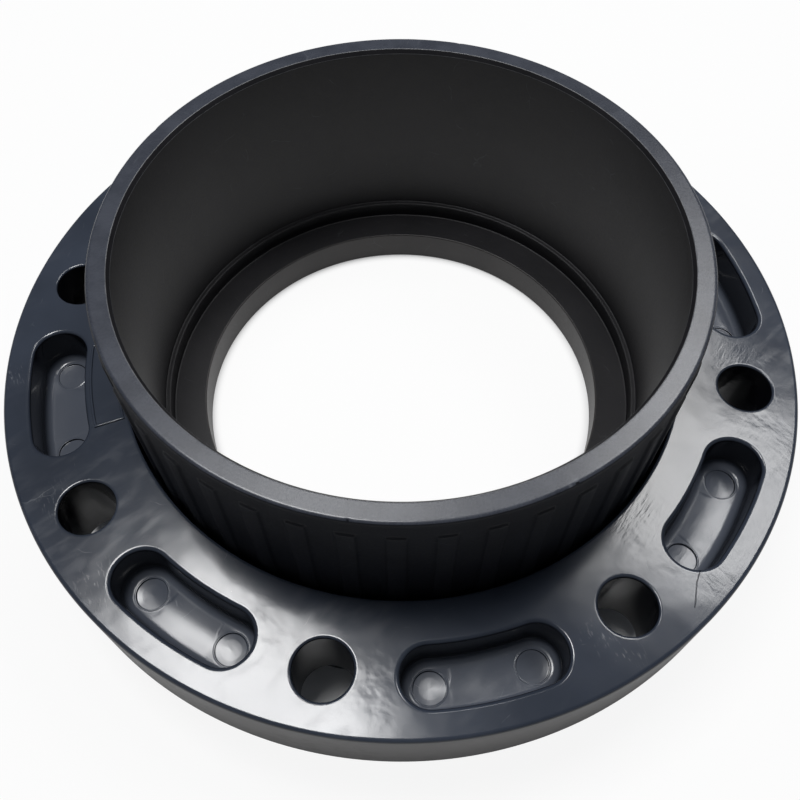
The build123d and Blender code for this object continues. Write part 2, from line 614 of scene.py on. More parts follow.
# One plastic in five zones, with each zone's tones set for the light it gets: the rim face is painted lighter
# as lit, while the ribbed side and the socket inside are painted darker as shade.
HUB_FINISHES = {
    Zone.SIDE: SatinFinish("hub_ribbed_side", (0.0055, 0.006, 0.009), (0.009, 0.010, 0.0135), rough=0.46,
                           specular=0.14, wear=0.12),
    Zone.RIM: SatinFinish("hub_rim_face", (0.030, 0.034, 0.046), (0.046, 0.051, 0.066), rough=0.26,
                          grain_rough=0.03, cloud_scale=0.06, grain_mm=0.003, turned_mm=0.004, wear=0.2,
                          spots=(Spot(74.3, -91.2, 1.5), Spot(72.6, -93.3, 1.1), Spot(84.9, -72.8, 1.4))),
    Zone.INSIDE: SatinFinish("hub_grained_inside", (0.007, 0.0068, 0.0085), (0.011, 0.0105, 0.0125),
                             rough=0.42, specular=0.32, grain_mm=0.03, wear=0.15),
    # painted reflection: the bore wall is lighter and warmer, standing in for the pale floor it reflects
    Zone.BORE: SatinFinish("hub_bore_wall", (0.018, 0.016, 0.0165), (0.028, 0.025, 0.025), specular=0.35,
                           grain_mm=0.012, wear=0.3),
    # worn edge and painted highlight: the chamfer's two rounds are pale, brighter than the light they get
    Zone.EDGE: SatinFinish("hub_worn_edge", (0.075, 0.078, 0.086), (0.12, 0.122, 0.13), cloud_scale=0.2,
                           grain_mm=0.006),
}


def mount_sizes(frame: Mapping[str, Any], name: str) -> Mapping[str, float]:
    """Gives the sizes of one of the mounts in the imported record."""
    return next(mount["dims"] for mount in frame["record"]["mounts"] if mount["name"] == name)


def linked(name: str, data: bpy.types.ID) -> bpy.types.Object:
    """Makes an object and puts it into the scene.

    Args:
        name: the object's name.
        data: its mesh, light or camera.

    Returns:
        The object.
    """
    item = bpy.data.objects.new(name, data)
    bpy.context.scene.collection.objects.link(item)
    return item


def unit(vectors: np.ndarray) -> np.ndarray:
    """Scales vectors to a length of one."""
    return vectors / np.linalg.norm(vectors, axis=-1, keepdims=True)


def circle_points(radius: float | np.ndarray, angles: float | np.ndarray) -> np.ndarray:
    """Gives the points (radius times cosine, radius times sine) for angles in radians."""
    return np.stack([radius * np.cos(angles), radius * np.sin(angles)], axis=-1)


def spin(turn: float) -> np.ndarray:
    """Gives the matrix that turns rows of points round the pipe axis by an angle in radians."""
    return np.array([[math.cos(turn), math.sin(turn), 0], [-math.sin(turn), math.cos(turn), 0], [0, 0, 1]])


def lifted(flat: np.ndarray, height: float | np.ndarray) -> np.ndarray:
    """Gives each point of a flat grid its height."""
    return np.concatenate([flat, np.broadcast_to(height, flat.shape[:-1])[..., None]], axis=-1)


def smooth_step(value: np.ndarray, low: float, high: float) -> np.ndarray:
    """Rises from 0 at low to 1 at high: three times the squared share of the way, less twice its cube."""
    share = np.clip((value - low) / (high - low), 0.0, 1.0)
    return share * share * (3 - 2 * share)


def swell(across: np.ndarray, along: np.ndarray, size: float, start: float) -> np.ndarray:
    """Gives a smooth uneven height between -1 and 1, the same each run.

    It is the mean of WAVE_COUNT sine waves. Each next wave runs the golden angle further round and is longer
    by WAVE_GROWTH of the shortest, so that they never repeat together.

    Args:
        across: places along X in millimetres.
        along: places along Y in millimetres.
        size: the shortest wave's length in millimetres.
        start: the first wave's direction in radians, which tells one use from another.

    Returns:
        A height for each place.
    """
    order = np.arange(WAVE_COUNT)
    turn = start + order * GOLDEN_ANGLE
    length = size * (1 + WAVE_GROWTH * order)
    way = across[..., None] * np.cos(turn) + along[..., None] * np.sin(turn)
    return np.sin(2 * math.pi * way / length + start + order * order).mean(axis=-1)


def straight_run(first: np.ndarray, last: np.ndarray, longest: float, support: float) -> np.ndarray:
    """Gives the points inside a straight run: one close to each end, and even steps between those.

    Args:
        first: where the run starts.
        last: where the run ends.
        longest: the longest step.
        support: how far from the ends the outer two points lie.

    Returns:
        The points, or none where the run is no longer than SHORT_RUN supports.
    """
    length = float(np.linalg.norm(last - first))
    if length <= SHORT_RUN * support:
        return np.empty((0, 2))
    steps = math.ceil((length - 2 * support) / longest)
    share = np.linspace(support, length - support, steps + 1)[:, None] / length
    return first + (last - first) * share


def rounded_path(corners: Sequence[Corner], arc_steps: int = 5, longest: float = 7.0,
                 support: float = 0.3) -> np.ndarray:
    """Works out an outline of straight runs and round corners.

    A round corner is the arc that touches both of its runs. Its ends lie the radius times the tangent of
    half the turn from the corner. Each of its points is the centre plus the two end arms, the first weighted
    by the sine of the angle left, the second by that of the angle done, over the sine of the whole turn.

    Args:
        corners: across, height and radius of each corner; the first and the last are plain ends.
        arc_steps: the steps of each arc.
        longest: the longest step on a straight run.
        support: how close to a run's ends it has a point, which keeps the shading of the flat even.

    Returns:
        The points, one row each.
    """
    points = np.array([corner[:2] for corner in corners], float)
    share = np.linspace(0, 1, arc_steps + 1)[:, None]
    arcs = [points[:1]]
    for before, here, after, (_, _, radius) in zip(points, points[1:], points[2:], corners[1:]):
        if radius == 0:
            arcs.append(here[None])
            continue
        way_in, way_out = unit(here - before), unit(after - here)
        turn = math.acos(min(1.0, max(-1.0, float(way_in @ way_out))))
        reach = radius * math.tan(turn / 2)
        centre = here + unit(way_out - way_in) * radius / math.cos(turn / 2)
        first, last = here - way_in * reach - centre, here + way_out * reach - centre
        arms = first * np.sin((1 - share) * turn) + last * np.sin(share * turn)
        arcs.append(centre + arms / math.sin(turn))
    arcs.append(points[-1:])
    runs = [straight_run(one[-1], two[0], longest, support) for one, two in zip(arcs, arcs[1:])]
    return np.concatenate([part for pair in zip(arcs, runs) for part in pair] + arcs[-1:])


def carried(base: np.ndarray, way: np.ndarray, path: np.ndarray) -> np.ndarray:
    """Carries an outline along many columns.

    A point is the column's base plus its direction times the outline's distance, at the outline's height.

    Args:
        base: each column's base, or one for all.
        way: each column's direction.
        path: distance and height of each row.

    Returns:
        The grid of points.
    """
    return lifted(base + way * path[:, None, :1], path[:, 1:])


def turned(path: np.ndarray, angles: np.ndarray) -> np.ndarray:
    """Carries an outline of radius and height round the pipe axis, at the columns' angles in radians."""
    return carried(np.zeros(2), circle_points(1.0, angles), path)


class Shell:
    """Gathers grids of points, in millimetres, and joins them into one closed mesh."""

    merge_within = 0.003

    def __init__(self) -> None:
        """Starts with no grids."""
        self.points: list[np.ndarray] = []
        self.faces: list[np.ndarray] = []
        self.count = 0

    def add(self, grid: np.ndarray) -> None:
        """Adds a grid, with a face between each four neighbours.

        Args:
            grid: the points, by row and column.
        """
        rows, columns = grid.shape[:2]
        index = np.arange(rows * columns).reshape(rows, columns) + self.count
        corners = (index[:-1, :-1], index[:-1, 1:], index[1:, 1:], index[1:, :-1])
        self.faces.append(np.stack(corners, axis=-1).reshape(-1, 4))
        self.points.append(grid.reshape(-1, 3))
        self.count += rows * columns

    def build(self, name: str, shape: Callable[[np.ndarray], np.ndarray]) -> bpy.types.Object:
        """Makes the object: grids that meet are merged, and the faces point outwards.

        Args:
            name: the object's name.
            shape: moves the points to their final places.

        Returns:
            The object.
        """
        mesh = bpy.data.meshes.new(name)
        points = shape(np.concatenate(self.points)) * MM
        mesh.from_pydata(points.tolist(), [], np.concatenate(self.faces).tolist())
        work = bmesh.new()
        work.from_mesh(mesh)
        bmesh.ops.remove_doubles(work, verts=work.verts[:], dist=self.merge_within * MM)
        bmesh.ops.recalc_face_normals(work, faces=work.faces[:])
        open_edges = sum(not edge.is_manifold for edge in work.edges)
        triangles = sum(len(face.verts) - 2 for face in work.faces)
        work.to_mesh(mesh)
        work.free()
        mesh.shade_smooth()
        LOG.info("built %s: %d triangles, %d open edges", name, triangles, open_edges)
        return linked(name, mesh)


@dataclass(frozen=True)
class Nick:
    """A small dent in the rim's outer edge: its angle in degrees, half width and depth in millimetres."""

    angle: float
    half_width: float
    depth: float


@dataclass
class SocketHub:
    """The hub: one turned surface from bore to rim, with flat raised ribs round its outside.

    Lengths are in millimetres. The wave is its shortest length and its first direction in radians.
    """

    lap_r: float
    height: float
    socket_r: float
    node: str = "socket_hub"
    body: str = "hub"
    slot: str = "hub_plastic"
    bore_r: float = 92.5
    outer_r: float = 118.9
    lap_thickness: float = 16.5
    stop_height: float = 16.0
    seat_height: float = 24.0
    seat_step: float = 2.5
    chamfer: float = 1.2
    chamfer_depth: float = 1.8
    rim_round: float = 1.5
    root_round: float = 2.5
    lap_round: float = 1.5
    inner_round: float = 0.6
    chamfer_round: float = 0.35
    rib_count: int = 45
    rib_half: float = 3.5
    rib_height: float = 0.9
    rib_low: float = 20.5
    rib_high: float = 108.0
    rib_edge: float = 0.55
    edge_lines: int = 4
    beside_rib: float = 1.7
    mid_gap: float = 1.5
    wobble: float = 0.05
    wobble_wave: Pair = (90.0, 0.7)
    nick_reach: float = 0.9
    nick_span: float = 2.1
    nick_columns: int = 12
    nicks: tuple[Nick, ...] = (
        Nick(-87.4, 0.7, 0.32),
        Nick(-50.8, 1.4, 0.26),
        Nick(-54.5, 0.8, 0.2),
        Nick(-136.0, 1.1, 0.2),
        Nick(12.0, 1.2, 0.22),
        Nick(88.0, 0.9, 0.2),
        Nick(161.0, 1.4, 0.22),
    )
    finishes: Mapping[Zone, SatinFinish] = field(default_factory=lambda: HUB_FINISHES)

    @classmethod
    def from_frame(cls, frame: Mapping[str, Any]) -> SocketHub:
        """Takes the lap's radius, the height and the socket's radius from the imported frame."""
        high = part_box("socket_hub")[1]
        return cls(high.x / MM, high.z / MM, mount_sizes(frame, "pipe_socket")["r_mm"])

    def outline(self) -> np.ndarray:
        """Gives the closed outline from half way down the bore: up the outside, over the rim and down inside.

        Returns:
            Radius and height of each row.
        """
        start = (self.bore_r, self.stop_height / 2, 0.0)
        rows = np.linspace(-self.rib_edge, self.rib_edge, self.edge_lines)
        rib_rows = [(self.outer_r, end + row, 0.0) for end in (self.rib_low, self.rib_high) for row in rows]
        step_r = self.socket_r - self.seat_step
        corners = [
            start,
            (self.bore_r, 0.0, self.inner_round),
            (self.lap_r, 0.0, self.lap_round),
            (self.lap_r, self.lap_thickness, self.lap_round),
            (self.outer_r, self.lap_thickness, self.root_round),
            *rib_rows,
            (self.outer_r, self.height, self.rim_round),
            (self.socket_r + self.chamfer, self.height, self.chamfer_round),
            (self.socket_r, self.height - self.chamfer_depth, self.chamfer_round),
            (self.socket_r, self.seat_height, self.inner_round),
            (step_r, self.seat_height, self.inner_round),
            (step_r, self.stop_height, self.inner_round),
            (self.bore_r, self.stop_height, self.inner_round),
            start,
        ]
        return rounded_path(corners, arc_steps=4, longest=9.0)

    def columns(self) -> np.ndarray:
        """Lays out the columns: close together at the ribs' edges and at the nicks, and the first one again.

        Returns:
            Their angles in radians.
        """
        edge = np.linspace(self.rib_half - self.rib_edge, self.rib_half + self.rib_edge, self.edge_lines)
        pitch = 2 * math.pi * self.outer_r / self.rib_count
        half = np.concatenate([[0.0], edge, [self.rib_half + self.beside_rib, pitch / 2 - self.mid_gap]])
        around = np.concatenate([-half[:0:-1], half]) / self.outer_r
        ribs = np.arange(self.rib_count)[:, None] * 2 * math.pi / self.rib_count + around
        span = np.linspace(-self.nick_span, self.nick_span, self.nick_columns)
        at_nicks = [math.radians(nick.angle) + span * nick.half_width / self.outer_r for nick in self.nicks]
        angles = np.unique(np.concatenate([ribs.ravel(), *at_nicks]) % (2 * math.pi))
        return np.append(angles, angles[0])

    def shape(self, points: np.ndarray) -> np.ndarray:
        """Raises the ribs, dents the rim and makes the walls a little uneven.

        A rib's height is the product of two smooth steps, across it and along it. A nick is a bell curve of
        the distance along the rim and from the rim's outer edge, and moves points in and down by equal
        amounts. The walls swell in and out by a slow wave, with none at the lap, where the ring seats.

        Args:
            points: the turned surface.

        Returns:
            The moved points.
        """
        radius, height = np.hypot(points[:, 0], points[:, 1]), points[:, 2]
        angle = np.arctan2(points[:, 1], points[:, 0])
        pitch = 2 * math.pi / self.rib_count
        off_rib = np.abs((angle + pitch / 2) % pitch - pitch / 2) * self.outer_r
        across = 1 - smooth_step(off_rib, self.rib_half - self.rib_edge, self.rib_half + self.rib_edge)
        low, high = (smooth_step(height, end - self.rib_edge, end + self.rib_edge)
                     for end in (self.rib_low, self.rib_high))
        on_wall = np.abs(radius - self.outer_r) < self.wobble
        raised = self.rib_height * across * low * (1 - high) * on_wall
        above_lap = smooth_step(height, self.lap_thickness + self.root_round, self.height / 2)
        uneven = self.wobble * above_lap * swell(angle * self.outer_r, height, *self.wobble_wave)
        dent = np.zeros_like(radius)
        for nick in self.nicks:
            away = (angle - math.radians(nick.angle) + math.pi) % (2 * math.pi) - math.pi
            beside = (away * self.outer_r / nick.half_width) ** 2
            from_edge = ((radius - self.outer_r) ** 2 + (height - self.height) ** 2) / self.nick_reach ** 2
            dent += nick.depth * np.exp(-beside - from_edge)
        moved = (radius + raised + uneven - dent) / radius
        return np.stack([points[:, 0] * moved, points[:, 1] * moved, height - dent], axis=-1)

    def build(self) -> bpy.types.Object:
        """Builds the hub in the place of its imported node.

        Returns:
            The piece.
        """
        shell = Shell()
        shell.add(turned(self.outline(), self.columns()))
        piece = shell.build("socket_hub_moulding", self.shape)
        self.dress(piece)
        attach(piece, self.body)
        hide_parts(self.node)
        return piece

    def dress(self, piece: bpy.types.Object) -> None:
        """Gives each zone of the hub its own finish, with the painted light or shade of its tones, by where
        the middles of its faces lie.

        The rim is the flat top with the start of its outer round, and the edges are the chamfer's two rounds.
        The bore is the wall below the stop ledge, the inside is all else nearer to the axis than the rim, and
        the side is the rest.

        Args:
            piece: the hub.
        """
        for zone in Zone:
            piece.data.materials.append(self.finishes[zone].build())
        middles = np.empty(len(piece.data.polygons) * 3)
        piece.data.polygons.foreach_get("center", middles)
        across, along, height = middles.reshape(-1, 3).T / MM
        radius = np.hypot(across, along)
        mouth_r = self.socket_r + self.chamfer
        edges = ((mouth_r, self.height), (self.socket_r, self.height - self.chamfer_depth))
        on_edge = [np.hypot(radius - r, height - z) < self.chamfer_round / 2 for r, z in edges]
        inside = (radius < mouth_r) & (height > self.inner_round)
        rim = ~inside & (height > self.height - self.rim_round / 4)
        bore = inside & (radius < self.bore_r + self.inner_round)
        choices = {Zone.EDGE: np.any(on_edge, axis=0), Zone.BORE: bore, Zone.INSIDE: inside, Zone.RIM: rim}
        zones = np.select(list(choices.values()), [zone.value for zone in choices], Zone.SIDE.value)
        piece.data.polygons.foreach_set("material_index", zones.astype(np.int32))


@dataclass
class BackingRing:
    """The loose ring: a flat ring with eight bolt holes and eight curved recesses between them.

    The top is cut into cells, one round each hole and half a recess each. A cell's columns run out from the
    hole or the recess's centre line to the cell's border, so that every edge has rows of its own along it.
    Lengths are in millimetres. hole_cell, recess_end and recess_draft are in degrees, all other angles in
    radians. A wave is its shortest length and its first direction, and a mark's slopes follow its number.
    """

    outer_r: float
    low: float
    top: float
    bolt_r: float
    hole_r: float
    count: int
    node: str = "backing_ring"
    body: str = "ring"
    slot: str = "ring_plastic"
    bore_r: float = 121.1
    root_relief: float = 3.5
    relief_rounds: Pair = (0.3, 0.2)
    top_round: float = 1.5
    foot_round: float = 1.5
    lip_round: float = 1.1
    recess_lip_round: float = 1.7
    hole_foot_round: float = 0.5
    border: float = 0.3
    hole_cell: float = 7.4
    recess_depth: float = 18.0
    recess_end: float = 7.65
    recess_draft: float = 1.5
    floor_round: float = 4.2
    floor_edge: float = 7.9
    floor_rows: tuple[float, ...] = (0.0, 0.45, 0.8, 0.88, 0.94, 1.0)
    first_wall_gap: float = 0.15
    mark_r: float = 6.3
    mark_depth: float = 0.45
    mark_cell_r: float = 7.6
    mark_profile: tuple[Corner, ...] = (
        (0.75, 0.0, 0.15),
        (0.35, 0.16, 0.1),
        (0.05, 0.16, 0.1),
        (-0.15, -0.45, 0.12),
        (-2.2, -0.45, 0.0),
    )
    mark_tilt: float = 0.04
    mark_turn: float = 2.4
    mark_start: float = 2.61
    mark_slopes: tuple[tuple[int, float, float], ...] = (
        (10, 0.030, 0.050),
        (11, -0.008, -0.006),
        (12, 0.060, 0.005),
        (15, -0.045, 0.035),
    )
    top_swell: float = 0.16
    top_waves: tuple[Pair, Pair] = ((60.0, 0.4), (21.0, 2.1))
    short_wave_share: float = 0.35
    floor_swell: float = 0.17
    floor_wave: Pair = (17.0, 1.3)
    floor_near: Pair = (1.0, 5.0)
    floor_margin: float = 0.5
    floor_dish: float = 0.48
    floor_fall: float = 0.06
    arc_columns: int = 12
    edge_columns: int = 18
    middle_columns: int = 8
    mark_columns: int = 12
    corner_columns: int = 7
    land_rows: int = 4
    wall_step: float = 12.0
    finish: RingFinish = field(default_factory=RingFinish)

    @classmethod
    def from_frame(cls, frame: Mapping[str, Any]) -> BackingRing:
        """Takes the ring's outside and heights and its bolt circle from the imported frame.


        Returns:
            The ring.
        """
        low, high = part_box("backing_ring")
        bolts = mount_sizes(frame, "bolt_circle")
        sizes = bolts["pcd_mm"] / 2, bolts["hole_r_mm"], bolts["count"]
        return cls(high.x / MM, low.z / MM, high.z / MM, *sizes)

    def __post_init__(self) -> None:
        """Works out the borders of the cells and the recess's floor."""
        self.step = 2 * math.pi / self.count
        self.cell = math.radians(self.hole_cell)
        self.end = self.step / 2 + math.radians(self.recess_end)
        self.end_centre = circle_points(self.bolt_r, self.end)
        self.floor_height = self.top - self.recess_depth
        self.foot_r = self.hole_r - self.recess_depth * math.tan(math.radians(self.recess_draft))
        self.round_start = self.foot_r - self.floor_round * math.tan(math.radians(90 - self.recess_draft) / 2)
        inner, outer = self.bore_r + self.border, self.outer_r - self.border
        self.top_ring = (inner + self.lip_round, outer - self.top_round)
        self.foot_ring = (inner + self.root_relief, outer - self.foot_round)

    def hole_border(self, ring: Pair) -> np.ndarray:
        """Gives the points of a hole cell's border, once round from the outer arc's middle.

        Args:
            ring: the inner and the outer radius of the flat.

        Returns:
            The points, with the first one again at the end.
        """
        around = np.linspace(0, self.cell, self.arc_columns // 2 + 1)
        edge = circle_points(np.linspace(ring[1], ring[0], self.edge_columns + 1), self.cell)
        outer, inner = circle_points(ring[1], around), circle_points(ring[0], around[::-1])
        half = np.concatenate([outer, edge[1:-1], inner])
        return np.concatenate([half, half[-2::-1] * (1, -1)])

    def land(self, edge: np.ndarray, border: np.ndarray) -> np.ndarray:
        """Fills the flat between an edge and a cell's border with even steps.

        Args:
            edge: the row of points round the hole or recess.
            border: as many points of the border.

        Returns:
            The grid, from the edge to the border.
        """
        share = np.linspace(0, 1, self.land_rows + 1)[:, None, None]
        return lifted(edge[:, :2] * (1 - share) + border * share, edge[:, 2])

    def hole_grids(self) -> list[np.ndarray]:
        """Builds the cell of the bolt hole on the +X side: its flat, lip, wall, foot and flat underneath.

        Returns:
            The grids.
        """
        centre = np.array([self.bolt_r, 0.0])
        top, foot = self.hole_border(self.top_ring), self.hole_border(self.foot_ring)
        path = rounded_path([
            (self.hole_r + self.lip_round + self.border, self.top, 0.0),
            (self.hole_r, self.top, self.lip_round),
            (self.hole_r, self.low, self.hole_foot_round),
            (self.hole_r + self.hole_foot_round + self.border, self.low, 0.0),
        ], longest=self.wall_step)
        wall = carried(centre, unit(top - centre), path)
        return [wall, self.land(wall[0], top), self.land(wall[-1], foot)]

    def recess_columns(self) -> tuple[np.ndarray, np.ndarray, np.ndarray, np.ndarray]:
        """Lays out the columns of half a recess, from the middle's outer side round the end to its inner one.

        Beside the middle of the recess, a column lies straight out from the pipe axis and starts on the
        centre line, or on the circle round the ejector mark. At the end it lies straight out from the mark's
        centre.

        Returns:
            Each column's base, direction, starting distance and point on the cell's border.
        """
        inner, outer = self.top_ring
        centre = self.end_centre
        out, around = circle_points(1.0, self.end), circle_points(1.0, self.end + math.pi / 2)
        quarter = circle_points(1.0, np.linspace(math.pi, math.pi / 2, self.mark_columns + 1))
        halves = []
        for side, ring in ((1, outer), (-1, inner)):
            on_mark = centre + self.mark_cell_r * (quarter[:, :1] * around + side * quarter[:, 1:] * out)
            at_mark = np.arctan2(on_mark[:, 1], on_mark[:, 0])
            at_middle = np.linspace(self.step / 2, at_mark[0], self.middle_columns + 1)[:-1]
            angles = np.concatenate([at_middle, at_mark])
            reach = np.concatenate([0 * at_middle, side * (np.hypot(*on_mark.T) - self.bolt_r)])
            halves.append((circle_points(self.bolt_r, angles), side * circle_points(1.0, angles), reach,
                           circle_points(ring, angles)))
        last = self.step - self.cell
        corner = np.linspace(self.end, last, self.corner_columns + 1)
        edge = circle_points(np.linspace(outer, inner, self.edge_columns + 1), last)
        arcs = circle_points(outer, corner[1:]), circle_points(inner, corner[:0:-1])
        border = np.concatenate([arcs[0], edge[1:-1], arcs[1]])
        end = (np.broadcast_to(centre, border.shape), unit(border - centre),
               np.full(len(border), self.mark_cell_r), border)
        return tuple(np.concatenate([first, part, second[::-1]])
                     for first, part, second in zip(halves[0], end, halves[1]))

    def recess_grids(self) -> list[np.ndarray]:
        """Builds half of the recess after the +X hole: floor, round, wall, lip, flat and ejector mark.

        Returns:
            The grids.
        """
        base, way, start, border = self.recess_columns()
        path = rounded_path([
            (0.0, self.floor_height, 0.0),
            (self.foot_r, self.floor_height, self.floor_round),
            (self.hole_r, self.top, self.recess_lip_round),
            (self.hole_r + self.recess_lip_round + self.border, self.top, 0.0),
        ], arc_steps=7, longest=6.0)
        edge = (self.floor_edge, self.floor_height + float(self.round_rise(np.array(self.floor_edge))))
        beyond = path[path[:, 0] > self.floor_edge + self.first_wall_gap]
        wall = carried(base, way, np.concatenate([[edge], beyond]))
        share = np.array(self.floor_rows)[:, None, None]
        inner = base + way * start[:, None]
        floor = inner * (1 - share) + wall[0, :, :2] * share
        floor = lifted(floor, self.floor_height + self.round_rise(self.off_line(floor)))
        rim = inner[self.middle_columns:len(start) - self.middle_columns] - self.end_centre
        mark = carried(self.end_centre, unit(rim), self.mark_path())
        mark[..., 2] += self.round_rise(self.off_line(mark[..., :2]))
        return [floor, wall, self.land(wall[-1], border), mark]

    def off_line(self, points: np.ndarray) -> np.ndarray:
        """Gives how far points lie from the nearest recess's centre line, or past its end, from the mark.

        A point's angle past the end turns its place into one along the end's own direction and one across it.

        Args:
            points: places across and along, anywhere on the ring.

        Returns:
            The distances.
        """
        radius = np.hypot(points[..., 0], points[..., 1])
        away = np.abs(np.arctan2(points[..., 1], points[..., 0]) % self.step - self.step / 2)
        past = np.clip(away - math.radians(self.recess_end), 0.0, None)
        return np.hypot(radius * np.cos(past) - self.bolt_r, radius * np.sin(past))

    def round_rise(self, off_line: np.ndarray) -> np.ndarray:
        """Gives the rise of the round at the floor's edge: its radius less its circle's height there."""
        into = np.clip(off_line - self.round_start, 0.0, self.floor_round)
        return self.floor_round - np.sqrt(self.floor_round ** 2 - into ** 2)

    def mark_path(self) -> np.ndarray:
        """Gives the outline of an ejector mark: a fine raised burr, and a shallow round sink inside it.

        Returns:
            Distance from the mark's centre and height of each row, inwards.
        """
        floor = self.floor_height
        profile = [(self.mark_r + out, floor + up, turn) for out, up, turn in self.mark_profile]
        corners = [(self.mark_cell_r, floor, 0.0), *profile, (0.0, floor - self.mark_depth, 0.0)]
        return rounded_path(corners, arc_steps=3, longest=4.0, support=0.2)

    def underside(self) -> np.ndarray:
        """Builds the flat underneath half a recess, with the same columns as the outside and the bore.

        Returns:
            The grid.
        """
        outer, inner = self.border_angles()
        share = np.linspace(0, 1, self.edge_columns + 1)[:, None]
        radius = self.foot_ring[1] * (1 - share) + self.foot_ring[0] * share
        return lifted(circle_points(radius, outer * (1 - share) + inner * share), self.low)

    def border_angles(self) -> tuple[np.ndarray, np.ndarray]:
        """Works out the angles of half a recess's columns on the cell's border, from its middle on.

        Returns:
            The angles on the outer and on the inner border.
        """
        border = self.recess_columns()[3]
        angles = np.arctan2(border[:, 1], border[:, 0])
        side = self.middle_columns + self.mark_columns + self.corner_columns + 1
        return angles[:side], angles[: -side - 1: -1]

    def wall_grids(self) -> list[np.ndarray]:
        """Builds the outside and the bore, from the flat on top to the one underneath, over one step.

        Returns:
            The grids.
        """
        hole = np.linspace(-self.cell, self.cell, self.arc_columns + 1)
        outside = [(self.top_ring[1], self.top, 0.0), (self.outer_r, self.top, self.top_round),
                   (self.outer_r, self.low, self.foot_round), (self.foot_ring[1], self.low, 0.0)]
        bore = [(self.top_ring[0], self.top, 0.0), (self.bore_r, self.top, self.lip_round),
                (self.bore_r, self.low + self.root_relief, self.relief_rounds[0]),
                (self.bore_r + self.root_relief, self.low, self.relief_rounds[1]),
                (self.foot_ring[0], self.low, 0.0)]
        grids = []
        for corners, half in zip((outside, bore), self.border_angles()):
            angles = np.concatenate([hole[:-1], self.step - half[::-1], half[1:]])
            grids.append(turned(rounded_path(corners, longest=self.wall_step), angles))
        return grids

    def shape(self, points: np.ndarray) -> np.ndarray:
        """Makes the moulding a little uneven, as shrinkage leaves it.

        Heights change by two slow waves, in full at the top and not at all underneath. A recess's floor has a
        shorter wave of its own, is dished by the square of the distance from its centre line, and falls
        outwards. Each ejector mark leans a little its own way.

        Args:
            points: the even surface.

        Returns:
            The moved points.
        """
        across, along, height = points.T
        share = (height - self.low) / (self.top - self.low)
        slow, short = (swell(across, along, *wave) for wave in self.top_waves)
        uneven = self.top_swell * (slow + self.short_wave_share * short)
        near_floor = 1 - smooth_step(np.abs(height - self.floor_height), *self.floor_near)
        reach = self.off_line(points[:, :2])
        on_floor = near_floor * (1 - smooth_step(reach, self.round_start, self.hole_r - self.floor_margin))
        dish = self.floor_dish * (np.clip(reach / self.round_start, 0.0, 1.0) ** 2 - 1)
        fall = self.floor_fall * (self.bolt_r - np.hypot(across, along))
        local = (self.floor_swell * swell(across, along, *self.floor_wave) + dish + fall) * on_floor
        return np.stack([across, along, height + share * uneven + local + self.mark_lean(points)], axis=-1)

    def mark_lean(self, points: np.ndarray) -> np.ndarray:
        """Tilts each ejector mark about its centre: the two slopes times the distances across and along.

        Each mark leans the same amount, one turn further round than the last, but for those with slopes of
        their own. A point moves in full at the sink's bottom, not at all at the floor around it, and not at
        twice the depth or lower, where the ring's other faces are.

        Args:
            points: the even surface.

        Returns:
            How far each point rises.
        """
        across, along, height = points.T
        sunk = (self.floor_height - height) / self.mark_depth
        share = np.clip(sunk, 0.0, 1.0) * (sunk < 2)
        slopes = circle_points(self.mark_tilt, self.mark_turn * np.arange(2 * self.count) + self.mark_start)
        for number, *slope in self.mark_slopes:
            slopes[number] = slope
        rise = np.zeros_like(height)
        for number, slope in enumerate(slopes):
            angle = (number // 2) * self.step + (self.end if number % 2 else self.step - self.end)
            x, y = across - self.bolt_r * math.cos(angle), along - self.bolt_r * math.sin(angle)
            rise += share * (np.hypot(x, y) < self.mark_r) * (x * slope[0] + y * slope[1])
        return rise

    def build(self) -> bpy.types.Object:
        """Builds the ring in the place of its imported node.

        One step of the ring is worked out, with half of its recess mirrored, and then turned round the axis.

        Returns:
            The piece.
        """
        half = [*self.recess_grids(), self.underside()]
        mirror = np.diag([1, -1, 1]) @ spin(self.step)
        grids = [*self.hole_grids(), *self.wall_grids(), *half, *(grid @ mirror for grid in half)]
        shell = Shell()
        for number in range(self.count):
            for grid in grids:
                shell.add(grid @ spin(number * self.step))
        piece = shell.build("backing_ring_moulding", self.shape)
        piece.data.materials.append(self.finish.build("ring_gloss_plastic"))
        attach(piece, self.body)
        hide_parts(self.node)
        return piece


